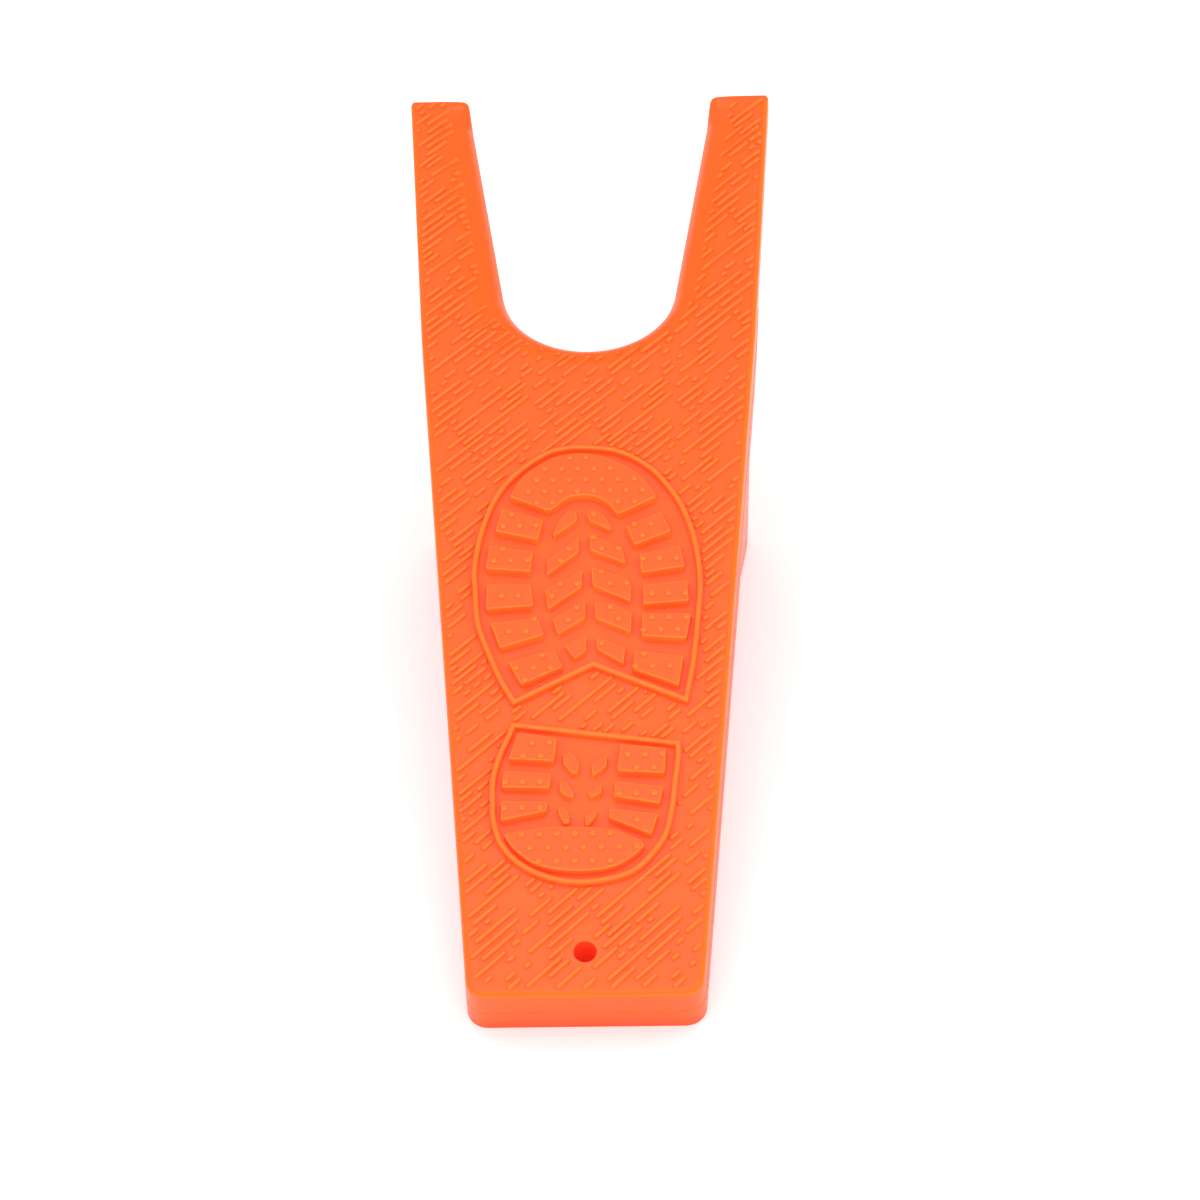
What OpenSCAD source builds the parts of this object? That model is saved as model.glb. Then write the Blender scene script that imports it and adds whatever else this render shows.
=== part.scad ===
// Boot jack: a sloping step-on board with a U notch that holds the heel of a boot.
// One plastic moulding, modelled as its natural regions: deck, skirts, leg, rolled
// notch lip, tread prints and raised grip dashes. Regions meet face to face.
// Deck frame: x to the right, y from the tail wall toward the fork, w out of the deck.
// The deck frame is then tilted and set on the floor by place().

/* [Board] */
// Length along the deck, tail wall to fork tips
deck_len = 343.3; // [280:0.1:400]
// Half width of the board at the tail
tail_half = 32.3; // [25:0.1:45]
// Half width of the board where the fork starts
bend_half = 53.9; // [45:0.1:70]
// Half width of the board at the fork tips
tip_half = 61.8; // [50:0.1:80]
// Distance from the tail wall to the start of the fork
bend_y = 236; // [200:1:280]
// Tilt of the deck from the floor in degrees
tilt = 12.2; // [8:0.1:16]
// Thickness of the deck
deck_t = 2.8; // [2:0.1:5]
// Corner radius of the tail seen from above
tail_r = 5.6; // [3:0.1:15]

/* [Skirts] */
// Wall thickness at the top of the skirts
wall = 2.5; // [1.8:0.1:4]
// Radius of the rounded top edge
edge_r = 1.8; // [0.5:0.1:2]
// Depth of the skirt along the body
skirt_depth = 18.3; // [10:0.1:30]
// Depth of the skirt along the fork arms
arm_depth = 8.2; // [6:0.1:18]
// Where the arm skirt starts to deepen
deepen_y = 261; // [240:1:300]
// Where the skirt reaches its full depth
full_y = 224; // [200:1:235]
// Height of the upper tier of the skirt
tier_h = 10; // [5:0.5:14]
// Small step between the two tiers
tier_step = 0.1; // [0:0.05:0.6]
// Outward draft of each tier
tier_draft = 0.28; // [0:0.01:0.5]
// Width of the flat land on the floor under the tail
tail_land = 1.5; // [0.5:0.1:3]

/* [Notch] */
// Radius of the round bottom of the notch
notch_r = 28.7; // [25:0.1:35]
// Distance from the tail wall to the centre of the notch circle
notch_y = 262.7; // [240:0.1:290]
// Opening angle of each straight side
notch_open = 9; // [4:0.1:15]
// Radius of the rolled lip
lip_r = 11.5; // [8:0.1:14]
// Width of the rolled lip seen from above
lip_w = 10.94; // [8:0.01:13]
// Corner radius of the fork tips seen from above
tip_r = 1.9; // [1:0.1:4]
// Length of the slope where the rolled lip comes up again at the tips
tip_slope = 6.5; // [4:0.1:12]
// Rounding of the tips on the notch side
tip_round = 3.5; // [1.5:0.1:5]

/* [Leg] */
// Front face of the leg wall from the tail wall
leg_y = 198; // [180:1:215]
// Thickness of the leg wall
leg_t = 3.5; // [2.5:0.1:6]
// Depth of the foot rail along the deck
foot_t = 4.5; // [3:0.1:10]
// Height of the foot rail
foot_h = 3; // [2:0.1:10]
// Where the sloping gusset edge meets the skirt
gusset_y = 151; // [130:1:180]

/* [Ribs] */
// Thickness of the ribs under the deck
rib_t = 1.8; // [1.2:0.1:3]
// Height of the ribs under the deck
rib_h = 9; // [5:0.5:15]
// Height and length of the braces behind the leg wall
brace = 27; // [10:1:35]
// Half spacing of the two long ribs
rib_x = 17; // [10:0.5:30]
// Cross rib under the heel print
cross_a = 60; // [40:1:80]
// Cross rib between the prints
cross_b = 106; // [90:1:120]
// Cross rib under the ball print
cross_c = 152; // [130:1:170]

/* [Hanging hole] */
// Diameter of the hole
hole_d = 6.5; // [4:0.1:12]
// Distance of the hole from the tail wall
hole_y = 13.2; // [10:0.1:25]
// Wall of the boss round the hole
boss_wall = 2.2; // [1.5:0.1:4]
// Height of the boss under the deck
boss_h = 10; // [3:0.5:14]

/* [Tread prints] */
// Middle of the ball print from the tail wall
ball_y = 138; // [120:0.5:150]
// Middle of the heel print from the tail wall
heel_y = 60.5; // [50:0.5:75]
// Width of the rim round each print
rim_t = 1.7; // [1:0.1:3]
// Height of the rim
rim_h = 1.6; // [0.8:0.1:3]
// Height of the lugs
lug_h = 2.2; // [1:0.1:4]
// Height of the lugs along the middle
mid_lug_h = 1.7; // [1:0.1:4]
// Diameter of the studs on the lugs
stud_d = 1.7; // [1:0.1:2.5]
// Height of the studs
stud_h = 0.7; // [0.3:0.1:1.5]
// Distance between neighbouring studs
stud_pitch = 5; // [3:0.1:8]
// Least distance from a stud centre to the edge of its lug
stud_edge = 0.45; // [0.3:0.05:2]

/* [Grip dashes] */
// Width of a dash
dash_w = 1.35; // [0.8:0.05:2]
// Height of a dash
dash_h = 0.7; // [0.3:0.1:1.2]
// Width of the repeating tile
tile_w = 45.1; // [40:0.1:50]
// Length of the repeating tile along the deck
tile_l = 43.3; // [40:0.1:50]
// Stretch of the tile along the fork
fork_stretch = 0.027; // [0:0.001:0.05]
// Margin kept along the sides and the tail
dash_edge = 2.2; // [1.5:0.1:5]
// Margin kept at the fork tips
dash_tip = 1.3; // [1:0.1:5]
// Margin kept from the wall of the notch
dash_lip = 9.2; // [5:0.1:12]

/* [Hidden] */
$fn = 64;
side_a = atan((bend_half - tail_half) / bend_y);
arm_a = atan((tip_half - bend_half) / (deck_len - bend_y));
corner_x = tail_half + tail_r * tan(side_a) - tail_r / cos(side_a);
outer_bottom = 2 * tier_draft + tier_step;
land_y = tail_land - outer_bottom;
lift = skirt_depth * cos(tilt) - land_y * sin(tilt);
y_low = edge_r * (cos(tilt) + sin(tilt)) - edge_r;
y_high = deck_len * cos(tilt) + arm_depth * sin(tilt);
tip_y = deck_len - wall;
row_pitch = stud_pitch * sqrt(3) / 2;
dash_a = atan(tile_l / tile_w);
dash_unit = norm([tile_w, tile_l]) / 64;
side_dir = [sin(side_a), cos(side_a)];
arm_dir = [sin(arm_a), cos(arm_a)];
lip_dir = [sin(notch_open), cos(notch_open)];
lip_out = [cos(notch_open), -sin(notch_open)];
bend_point = [bend_half, bend_y];
// First point of the straight side skirt, where the tail corner ends
side_start = [corner_x + tail_r * cos(side_a), tail_r - tail_r * sin(side_a)];
side_run = norm(bend_point - side_start);
arm_run = (deck_len - bend_y) / cos(arm_a);
inner_draft = 0.8;
lip_run = (tip_y - notch_y + notch_r * sin(notch_open)) / cos(notch_open) + 4;
lip_end = [0, notch_y] + notch_r * lip_out + lip_run * lip_dir;
lip_tangent = [0, notch_y] + (notch_r + lip_w) * lip_out;
foot_y = leg_y - foot_t;
foot_w = -(lift + foot_y * sin(tilt)) / cos(tilt);
rail_top = foot_w + foot_h;
// Where the sloping edge behind the leg passes the top of the rail
rail_y = gusset_y + (foot_y - gusset_y) * (rail_top + skirt_depth) / (foot_w + skirt_depth);
// Offsets that line the stud lattice and the dash tile up with the board
stud_x = -0.5;
ball_first = 45.5;
heel_first = 19;
tile_x = -2.85;
tile_y = 12.2;
fork_from = 228;

// Each dash: lane across the tile (12 lanes), start along it and length (64 steps a lane)
dashes = [
  [0, 5.5, 8.5], [0, 28.5, 9.5], [0, 54, 8], [0.4, 42.5, 6], [0.8, 10.5, 29],
  [1.3, 47.5, 2.5], [1.5, 52.5, 29.5], [1.8, 19, 9.5], [2.3, 38, 14], [2.5, 0.5, 9.5],
  [2.5, 10.5, 9], [2.6, 21.5, 2.5], [3.2, 37.5, 9.5], [3.5, 7.5, 3], [3.5, 11.5, 3],
  [3.6, 15.5, 16], [3.5, 58, 5], [4, 55, 2.5], [4.3, 38, 2.5], [4.3, 42, 10],
  [4.6, 0.5, 29], [5.3, 32, 8.5], [5.2, 45, 16], [5.5, 63.5, 9.5], [5.6, 13, 13],
  [6.3, 26.5, 6.5], [6.4, 36, 16.5], [6.2, 55, 8], [6.6, 6, 13.5], [6.6, 22, 3],
  [7.5, 62.5, 5], [7.7, 6, 5.5], [7.6, 17.5, 3], [7.5, 33.5, 9.5], [7.4, 45, 16],
  [8.4, 23.5, 29.5], [9.1, 13, 4], [9.4, 19.5, 2.5], [9.4, 28.5, 16], [9.4, 45.5, 3],
  [9.4, 58.5, 9.5], [10, 11, 5.5], [10.4, 26, 9.5], [10.4, 44.5, 29.5], [11.2, 1.5, 9],
  [11.2, 15.5, 13.5], [11.3, 44, 9]
];

// Print outlines and lugs, in mm from the middle of each print, as chosen by hand
ball_arc = [
  [-21, -43.5], [-25, -36], [-29, -26], [-32.5, -15], [-33.5, -3], [-34, 3.5], [-33, 14],
  [-31, 23], [-28.5, 30.5], [-24.5, 37.5], [-19, 43.5], [-12.5, 48.5], [-8, 50], [-2.5, 50.5],
  [9, 49], [18.5, 43], [24.5, 35.5], [29, 27], [32, 17], [33.5, 7.5], [34, -3], [33, -15],
  [31.5, -29.5], [29, -43.5]
];
ball_apex = [2, -30.5];
heel_arc = [
  [26.5, 19], [26.5, 15], [25.5, 6.5], [24.5, -2], [22.5, -11], [18.5, -17.5], [13.5, -22.5],
  [7, -25], [-1, -26], [-8.5, -25], [-15.5, -22], [-20.5, -18], [-24, -13], [-26, -6.5],
  [-26.5, 0], [-26.5, 8], [-25, 15], [-23, 20.5], [-21, 26]
];
toe_arc = [
  [-23.8, 31], [-20.4, 38], [-15.5, 42.7], [-10.2, 46], [-5.5, 47.3], [0, 47.4], [5, 46.2],
  [10.2, 43.3], [15, 39.7], [18, 36], [20.4, 32.3], [21, 30]
];
toe_front = [
  [9.4, 23.6], [8.2, 25.3], [6.8, 27.6], [4.4, 29.7], [1.6, 30.9], [-1.7, 31.3], [-4.8, 30.8],
  [-6.6, 30], [-9.6, 26.9], [-11, 25.8], [-12.3, 25.6]
];
heel_cap = [
  [-22.8, -10.8], [-10.5, -8.6], [0, -8.8], [8.5, -9.8], [15.8, -13.4], [16.6, -15.2],
  [14.4, -17.5], [12, -19.5], [9, -21.3], [5, -22.6], [0, -23], [-5, -22.9], [-10, -22.1],
  [-12.7, -21.2], [-15.2, -20], [-17.7, -18], [-20.7, -15], [-22.5, -12]
];
side_left = [
  [[-26, 26.5], [-13.5, 22], [-15, 14.5], [-28, 18]],
  [[-29.5, 12.5], [-16.5, 10.2], [-17, 2.5], [-30.5, 4]],
  [[-30, -1.8], [-17, -2.2], [-16, -10], [-30, -11]],
  [[-28.5, -16], [-14.7, -14.4], [-12.6, -20.5], [-25.5, -25]],
  [[-23, -30], [-9.5, -26], [-7, -32], [-19, -38]]
];
side_right = [
  [[12, 19], [22.5, 24.5], [25.5, 17], [14.5, 12]],
  [[16, 8.5], [28, 11.5], [29.5, 3.7], [16.5, 1.5]],
  [[17, -3], [30, -1.4], [30.5, -9], [17, -10]],
  [[16.5, -13.5], [31, -13.5], [29.5, -22.5], [16.5, -21.5]],
  [[14.5, -26.5], [28.5, -29], [27, -39], [13.5, -33]]
];
ball_mid = [
  [[-6, 25.5], [-3.5, 25.5], [-3, 22], [-10, 16], [-10.5, 17], [-8.5, 22]],
  [[-2.5, 15.5], [-2.5, 10], [-12, 1.5], [-12, 7]],
  [[-1.5, 3.2], [-1.5, -3], [-11.5, -11], [-12.5, -4]],
  [[-0.5, -8], [-0.5, -14.5], [-8.5, -20.2], [-10.2, -14.5]],
  [[-0.3, -21], [0, -26], [-3.5, -29], [-6.5, -24]],
  [[1.5, 26], [5, 24], [7.5, 19], [7, 18], [0.5, 22], [0, 24.5]],
  [[0.8, 16.6], [10.6, 11.6], [11.7, 5.4], [1, 10.6]],
  [[1.4, 4.2], [12, 0], [13.2, -3], [13.2, -8.6], [1.8, -2.6]],
  [[2.4, -8.6], [8, -9.4], [13.4, -12.6], [13.2, -19.8], [2.6, -14.4]],
  [[3, -21.5], [11.5, -25], [11, -31], [3, -25.5]]
];
heel_sides = [
  [[-19.6, 22.8], [-8.5, 20.9], [-9.2, 13], [-22.2, 14]],
  [[-23.5, 10], [-10, 9], [-10.5, 4], [-24, 4.5]],
  [[-24, 0], [-11, -0.5], [-11, -3.5], [-24, -6.5]],
  [[10, 18.5], [23, 17], [22.5, 8.5], [9, 9.5]],
  [[8.5, 6], [22, 4], [21, -1.5], [8, 1]],
  [[7, -3], [20.5, -5], [18.5, -11.5], [6.5, -6]]
];
heel_mid = [
  [[-6.5, 16], [-4, 16], [-2, 12.5], [-2.5, 9], [-4, 9], [-6.5, 12.5]],
  [[-7.5, 6.5], [-5.5, 6], [-3.5, 3], [-3.5, 1], [-5.5, 1.5], [-7.5, 3.5]],
  [[-8, -2], [-6, -2], [-4.5, -5], [-5, -8], [-6, -7.5], [-7.5, -4.5]],
  [[6, 15], [6, 11.5], [2, 8], [1.5, 12]],
  [[4.5, 5], [4.5, 2.5], [1.5, 1], [0.5, 3]],
  [[3, -3], [3, -5], [0.5, -8.5], [0, -8], [0, -5]]
];

// Smooth curve through hand-picked points, four steps between neighbours
function curve(p) = [
  for (i = [0:len(p) - 2])
    for (k = [0:3])
      let (
        a = p[max(i - 1, 0)],
        b = p[i],
        c = p[i + 1],
        d = p[min(i + 2, len(p) - 1)],
        t = k / 4
      )
      0.5 * (2 * b + (c - a) * t + (2 * a - 5 * b + 4 * c - d) * t * t
        + (3 * b - a - 3 * c + d) * t * t * t),
  p[len(p) - 1]
];
function unit(v) = v / norm(v);
function right_of(v) = [v[1], -v[0]];
// Loop moved outward by d; loops run clockwise, corners are mitred
function grow(p, d) = [
  for (i = [0:len(p) - 1])
    let (
      n = len(p),
      a = right_of(unit(p[i] - p[(i + n - 1) % n])),
      b = right_of(unit(p[(i + 1) % n] - p[i])),
      m = unit(a + b)
    )
    p[i] - m * d / max(m * a, 0.5)
];
function crosses(q, a, b) =
  (a[1] > q[1]) != (b[1] > q[1])
  && q[0] < (b[0] - a[0]) * (q[1] - a[1]) / (b[1] - a[1]) + a[0];
function add(v, i = 0) = i >= len(v) ? 0 : v[i] + add(v, i + 1);
function within(q, p) =
  let (n = len(p))
  add([for (i = [0:n - 1]) crosses(q, p[i], p[(i + 1) % n]) ? 1 : 0]) % 2 == 1;
function line_gap(q, a, b) =
  let (t = max(0, min(1, (q - a) * (b - a) / ((b - a) * (b - a)))))
  norm(q - a - t * (b - a));
function clear_of(q, p, gap) =
  min([for (i = [0:len(p) - 1]) line_gap(q, p[i], p[(i + 1) % len(p)])]) > gap;

ball_loop = concat(curve(ball_arc), [ball_apex]);
heel_loop = curve(heel_arc);
toe_cap = concat(curve(toe_arc), toe_front);
ball_keep = [for (p = grow(ball_loop, rim_t / 2 + 0.9)) p + [0, ball_y]];
heel_keep = [for (p = grow(heel_loop, rim_t / 2 + 0.9)) p + [0, heel_y]];

// Half width of the board at a distance y from the tail wall
function half_at(y) =
  y < bend_y
    ? tail_half + y * tan(side_a)
    : bend_half + (y - bend_y) * tan(arm_a);
// Distance from the wall of the notch, measured into the board
function from_notch(q) =
  let (
    x = abs(q[0]),
    y = q[1] - notch_y,
    along = x * sin(notch_open) + y * cos(notch_open)
  )
  along > 0 ? x * cos(notch_open) - y * sin(notch_open) - notch_r : norm([x, y]) - notch_r;
function wall_line(y) = (notch_r + (y - notch_y) * sin(notch_open)) / cos(notch_open);
function lip_line(y) = wall_line(y) + lip_w / cos(notch_open);
function arc(c, r, a0, a1, n) = [
  for (i = [0:n])
    let (a = a0 + (a1 - a0) * i / n)
    c + r * [cos(a), sin(a)]
];
tail_arc = arc([corner_x, tail_r], tail_r - wall, -90, -side_a, 12);
deck_outline = concat(
  tail_arc,
  [
    [bend_half - wall / cos(side_a), bend_y],
    [wall / cos(side_a) - bend_half, bend_y]
  ],
  [for (i = [len(tail_arc) - 1:-1:0]) [-tail_arc[i][0], tail_arc[i][1]]]
);
tip_mid = deck_len - tip_r;
tip_outline = concat(
  [[wall_line(tip_y), tip_y], [half_at(tip_y) + 2 * tier_draft, tip_y]],
  arc([half_at(tip_mid) + tier_draft - tip_r / cos(arm_a), tip_mid], tip_r, -arm_a, 90, 8),
  arc([wall_line(tip_mid) + tip_r / cos(notch_open), tip_mid], tip_r, 90, 180 - notch_open, 8)
);
function dash_ok(q) =
  q[1] > dash_edge
  && q[1] < deck_len - dash_tip
  && abs(q[0]) < half_at(q[1]) - dash_edge
  && (abs(q[0]) < corner_x || q[1] > tail_r)
  && from_notch(q) > dash_lip
  && norm(q - [0, hole_y]) > hole_d / 2 + 2
  && !within(q, ball_keep)
  && !within(q, heel_keep);
// The tile runs a little longer on the fork
function on_fork(q) = [q[0], q[1] + max(0, q[1] - fork_from) * fork_stretch];
// Points about one millimetre apart along a dash between its rounded ends
function dash_run(a, b) =
  let (n = max(1, round(norm(b - a))))
  [for (i = [0:n]) let (q = a + (b - a) * i / n) [q, dash_ok(q)]];
// Parts of a dash that stay clear of edges, prints, hole and notch
function dash_cut(run) =
  let (
    n = len(run) - 1,
    starts = [for (i = [0:n]) if (run[i][1] && (i == 0 || !run[i - 1][1])) run[i][0]],
    ends = [for (i = [0:n]) if (run[i][1] && (i == n || !run[i + 1][1])) run[i][0]]
  )
  [for (i = [0:1:len(starts) - 1]) [starts[i], ends[i]]];
// All dashes of the board as pairs of end points
all_dashes = [
  for (i = [-3:3])
    for (j = [-1:8])
      for (d = dashes)
        let (
          across = d[0] / 24,
          from = (d[1] + dash_w / 2 / dash_unit) / 64,
          to = (d[1] + d[2] - dash_w / 2 / dash_unit) / 64,
          home = [i * tile_w + tile_x, j * tile_l + tile_y],
          a = on_fork(home + [tile_w * (from + across), tile_l * (from - across)]),
          b = on_fork(home + [tile_w * (to + across), tile_l * (to - across)])
        )
        if (max(a[1], b[1]) > 0 && min(a[1], b[1]) < deck_len)
          if (min(abs(a[0]), abs(b[0])) < tip_half)
            for (c = dash_cut(dash_run(a, b))) c
];
function dashes_in(y0, y1, side) = [
  for (d = all_dashes)
    let (m = (d[0] + d[1]) / 2)
    if (m[1] >= y0 && m[1] < y1 && (side == 0 || side * m[0] > 0)) d
];

module place() {
  translate([0, -(y_low + y_high) / 2, lift])
    rotate([tilt, 0, 0])
      children();
}

// Run a section along a straight edge: outward side is x, height is y of the section
module run_to(p, angle, length) {
  translate([p[0], p[1], 0])
    rotate([0, 0, -angle])
      rotate([90, 0, 0])
        linear_extrude(length)
          children();
}

module flip() {
  mirror([1, 0, 0])
    children();
}

// Space beyond a plane across the board
module past(y) {
  translate([-100, y, -100])
    cube([200, 200, 200]);
}

module short_of(y) {
  translate([-100, y - 400, -100])
    cube([200, 400, 200]);
}

module under_floor() {
  rotate([-tilt, 0, 0])
    translate([-100, -100, -lift - 100])
      cube([200, 600, 100]);
}

// What is left outside the rounded top edge
module edge_air() {
  translate([-edge_r, -edge_r])
    difference() {
      square(2 * edge_r);
      circle(edge_r);
    }
}

// Section of a skirt: rounded top edge, two drafted tiers, thinner at the bottom
module skirt_section(fill = 0) {
  difference() {
    polygon([
      [-wall - fill, 0],
      [0, 0],
      [0, -edge_r],
      [tier_draft, -tier_h],
      [tier_draft + tier_step, -tier_h - tier_step],
      [outer_bottom, -skirt_depth],
      [-wall - fill + inner_draft, -skirt_depth],
      [-wall - fill, -deck_t]
    ]);
    edge_air();
  }
}

// Everything outside the inner faces of the side skirts and gussets
module outside_section() {
  polygon([
    [-wall - inner_draft * (deck_t + 1) / (skirt_depth - deck_t), 1],
    [-wall + inner_draft, -skirt_depth],
    [-wall + inner_draft, -90],
    [30, -90],
    [30, 1]
  ]);
}

module side_outside() {
  run_to(bend_point + 3 * side_dir, side_a, side_run + 6)
    outside_section();
}

// Space below the shallow skirts of the fork
module fork_air() {
  translate([-100, 0, 0])
    rotate([90, 0, 90])
      linear_extrude(200)
        polygon([
          [full_y, -skirt_depth],
          [deepen_y, -arm_depth],
          [deck_len + 10, -arm_depth],
          [deck_len + 10, -skirt_depth - 5],
          [full_y, -skirt_depth - 5]
        ]);
}

module lip_section() {
  intersection() {
    translate([lip_w, -lip_r])
      difference() {
        circle(lip_r);
        circle(lip_r - deck_t);
      }
    translate([0, -arm_depth])
      square([lip_w, arm_depth]);
  }
}

module deck_plate() {
  color("OrangeRed")
    place()
      difference() {
        translate([0, 0, -deck_t])
          linear_extrude(deck_t)
            difference() {
              polygon(deck_outline);
              translate([0, notch_y])
                circle(notch_r + lip_w);
            }
        translate([0, hole_y, -deck_t - 1])
          cylinder(d = hole_d, h = deck_t + 2);
      }
}

module arm_plate() {
  translate([0, 0, -deck_t])
    linear_extrude(deck_t)
      difference() {
        polygon([
          [half_at(bend_y) - wall / cos(arm_a), bend_y],
          [half_at(tip_y) - wall / cos(arm_a), tip_y],
          [lip_line(tip_y), tip_y],
          lip_tangent,
          lip_tangent + [-6, 1],
          [22, bend_y]
        ]);
        translate([0, notch_y])
          circle(notch_r + lip_w);
      }
}

module fork_arm_right() {
  color("OrangeRed")
    place()
      arm_plate();
}

module fork_arm_left() {
  color("OrangeRed")
    place()
      flip()
        arm_plate();
}

module notch_lip_bottom() {
  color("OrangeRed")
    place()
      translate([0, notch_y, 0])
        rotate_extrude(angle = 180 - 2 * notch_open, start = 180 + notch_open, $fn = 128)
          translate([notch_r, 0])
            lip_section();
}

module lip_side() {
  difference() {
    run_to(lip_end, notch_open, lip_run)
      lip_section();
    past(tip_y);
  }
}

module notch_lip_right() {
  color("OrangeRed")
    place()
      lip_side();
}

module notch_lip_left() {
  color("OrangeRed")
    place()
      flip()
        lip_side();
}

module arm_skirt() {
  difference() {
    run_to([tip_half, deck_len] + arm_dir, arm_a, arm_run + 4)
      skirt_section();
    past(tip_y);
    short_of(bend_y);
    fork_air();
  }
}

module arm_skirt_right() {
  color("OrangeRed")
    place()
      arm_skirt();
}

module arm_skirt_left() {
  color("OrangeRed")
    place()
      flip()
        arm_skirt();
}

module body_skirt() {
  difference() {
    run_to(bend_point + side_dir, side_a, side_run + 1)
      skirt_section();
    past(bend_y);
    fork_air();
  }
}

module body_skirt_right() {
  color("OrangeRed")
    place()
      body_skirt();
}

module body_skirt_left() {
  color("OrangeRed")
    place()
      flip()
        body_skirt();
}

module tail_corner() {
  translate([corner_x, tail_r, 0])
    rotate_extrude(angle = 90 - side_a, start = 270)
      translate([tail_r, 0])
        skirt_section();
}

module tail_skirt() {
  color("OrangeRed")
    place()
      difference() {
        union() {
          run_to([corner_x, 0], 90, 2 * corner_x)
            skirt_section();
          tail_corner();
          flip()
            tail_corner();
        }
        under_floor();
      }
}

// Slope that fills the rolled lip up to the level end of the arm
module tip_ramp() {
  intersection() {
    run_to(lip_end, notch_open, lip_run)
      difference() {
        translate([0, -arm_depth])
          square([lip_w - 2.2, arm_depth]);
        translate([lip_w, -lip_r])
          circle(lip_r);
      }
    rotate([90, 0, 90])
      linear_extrude(100)
        polygon([
          [tip_y, 0],
          [tip_y - 0.18 * tip_slope, -0.35],
          [tip_y - 0.36 * tip_slope, -1.4],
          [tip_y - tip_slope, -7.2],
          [tip_y - tip_slope, -arm_depth],
          [tip_y, -arm_depth]
        ]);
  }
}

module tip_wall() {
  difference() {
    union() {
      intersection() {
        translate([0, 0, -arm_depth])
          linear_extrude(arm_depth)
            polygon(tip_outline);
        run_to([tip_half, deck_len] + 4 * arm_dir, arm_a, 14)
          skirt_section(fill = 40);
      }
      tip_ramp();
    }
    // Air outside the rounded edge on the notch side
    run_to(lip_end + 8 * lip_dir, notch_open, 34)
      difference() {
        translate([-4, -tip_round])
          square([4 + tip_round, tip_round + 1]);
        translate([tip_round, -tip_round])
          circle(tip_round);
      }
    // Rounded front edge
    translate([0, deck_len, 0])
      rotate([90, 0, 90])
        linear_extrude(100)
          edge_air();
  }
}

module tip_wall_right() {
  color("OrangeRed")
    place()
      tip_wall();
}

module tip_wall_left() {
  color("OrangeRed")
    place()
      flip()
        tip_wall();
}

module leg_wall() {
  color("OrangeRed")
    place()
      difference() {
        translate([-70, leg_y - leg_t, rail_top])
          cube([140, leg_t, -rail_top - deck_t]);
        side_outside();
        flip()
          side_outside();
      }
}

module leg_gusset() {
  intersection() {
    run_to(bend_point, side_a, side_run)
      translate([-wall + inner_draft, -90])
        square([outer_bottom + wall - inner_draft, 90 - skirt_depth]);
    rotate([90, 0, 90])
      linear_extrude(100)
        polygon([
          [gusset_y, -skirt_depth],
          [leg_y, -skirt_depth],
          [leg_y, rail_top],
          [rail_y, rail_top]
        ]);
  }
}

module leg_gusset_right() {
  color("OrangeRed")
    place()
      leg_gusset();
}

module leg_gusset_left() {
  color("OrangeRed")
    place()
      flip()
        leg_gusset();
}

module foot_rail() {
  color("OrangeRed")
    place()
      difference() {
        rotate([90, 0, 90])
          translate([0, 0, -70])
            linear_extrude(140)
              polygon([
                [rail_y, rail_top],
                [leg_y, rail_top],
                [leg_y, -90],
                [foot_y, -90],
                [foot_y, foot_w]
              ]);
        under_floor();
        run_to(bend_point, side_a, side_run)
          translate([outer_bottom, -90])
            square([30, 90]);
        flip()
          run_to(bend_point, side_a, side_run)
            translate([outer_bottom, -90])
              square([30, 90]);
      }
}

module long_rib(x) {
  translate([x - rib_t / 2, 0, 0])
    rotate([90, 0, 90])
      linear_extrude(rib_t)
        polygon([
          [wall, -deck_t],
          [leg_y - leg_t, -deck_t],
          [leg_y - leg_t, -deck_t - rib_h],
          [wall - inner_draft * rib_h / (skirt_depth - deck_t), -deck_t - rib_h]
        ]);
}

// Triangle that carries the leg wall at the end of each long rib
module leg_brace(x) {
  translate([x - rib_t / 2, 0, 0])
    rotate([90, 0, 90])
      linear_extrude(rib_t)
        polygon([
          [leg_y - leg_t, -deck_t - rib_h],
          [leg_y - leg_t, -deck_t - rib_h - brace],
          [leg_y - leg_t - brace, -deck_t - rib_h]
        ]);
}

module long_rib_right() {
  color("OrangeRed")
    place()
      long_rib(rib_x);
}

module long_rib_left() {
  color("OrangeRed")
    place()
      long_rib(-rib_x);
}

module leg_brace_right() {
  color("OrangeRed")
    place()
      leg_brace(rib_x);
}

module leg_brace_left() {
  color("OrangeRed")
    place()
      leg_brace(-rib_x);
}

module cross_rib(y) {
  difference() {
    translate([-60, y - rib_t / 2, -deck_t - rib_h])
      cube([120, rib_t, rib_h]);
    side_outside();
    flip()
      side_outside();
    for (x = [-rib_x, rib_x])
      translate([x - rib_t / 2, y - 5, -deck_t - rib_h - 1])
        cube([rib_t, 10, rib_h + 2]);
  }
}

module cross_rib_heel() {
  color("OrangeRed")
    place()
      cross_rib(cross_a);
}

module cross_rib_middle() {
  color("OrangeRed")
    place()
      cross_rib(cross_b);
}

module cross_rib_ball() {
  color("OrangeRed")
    place()
      cross_rib(cross_c);
}

module hanger_boss() {
  color("OrangeRed")
    place()
      translate([0, hole_y, -deck_t - boss_h])
        difference() {
          cylinder(d = hole_d + 2 * boss_wall, h = boss_h);
          translate([0, 0, -1])
            cylinder(d = hole_d, h = boss_h + 2);
        }
}

module rim(loop, y) {
  translate([0, y, 0])
    linear_extrude(rim_h)
      difference() {
        polygon(grow(loop, rim_t / 2));
        polygon(grow(loop, -rim_t / 2));
      }
}

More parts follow.
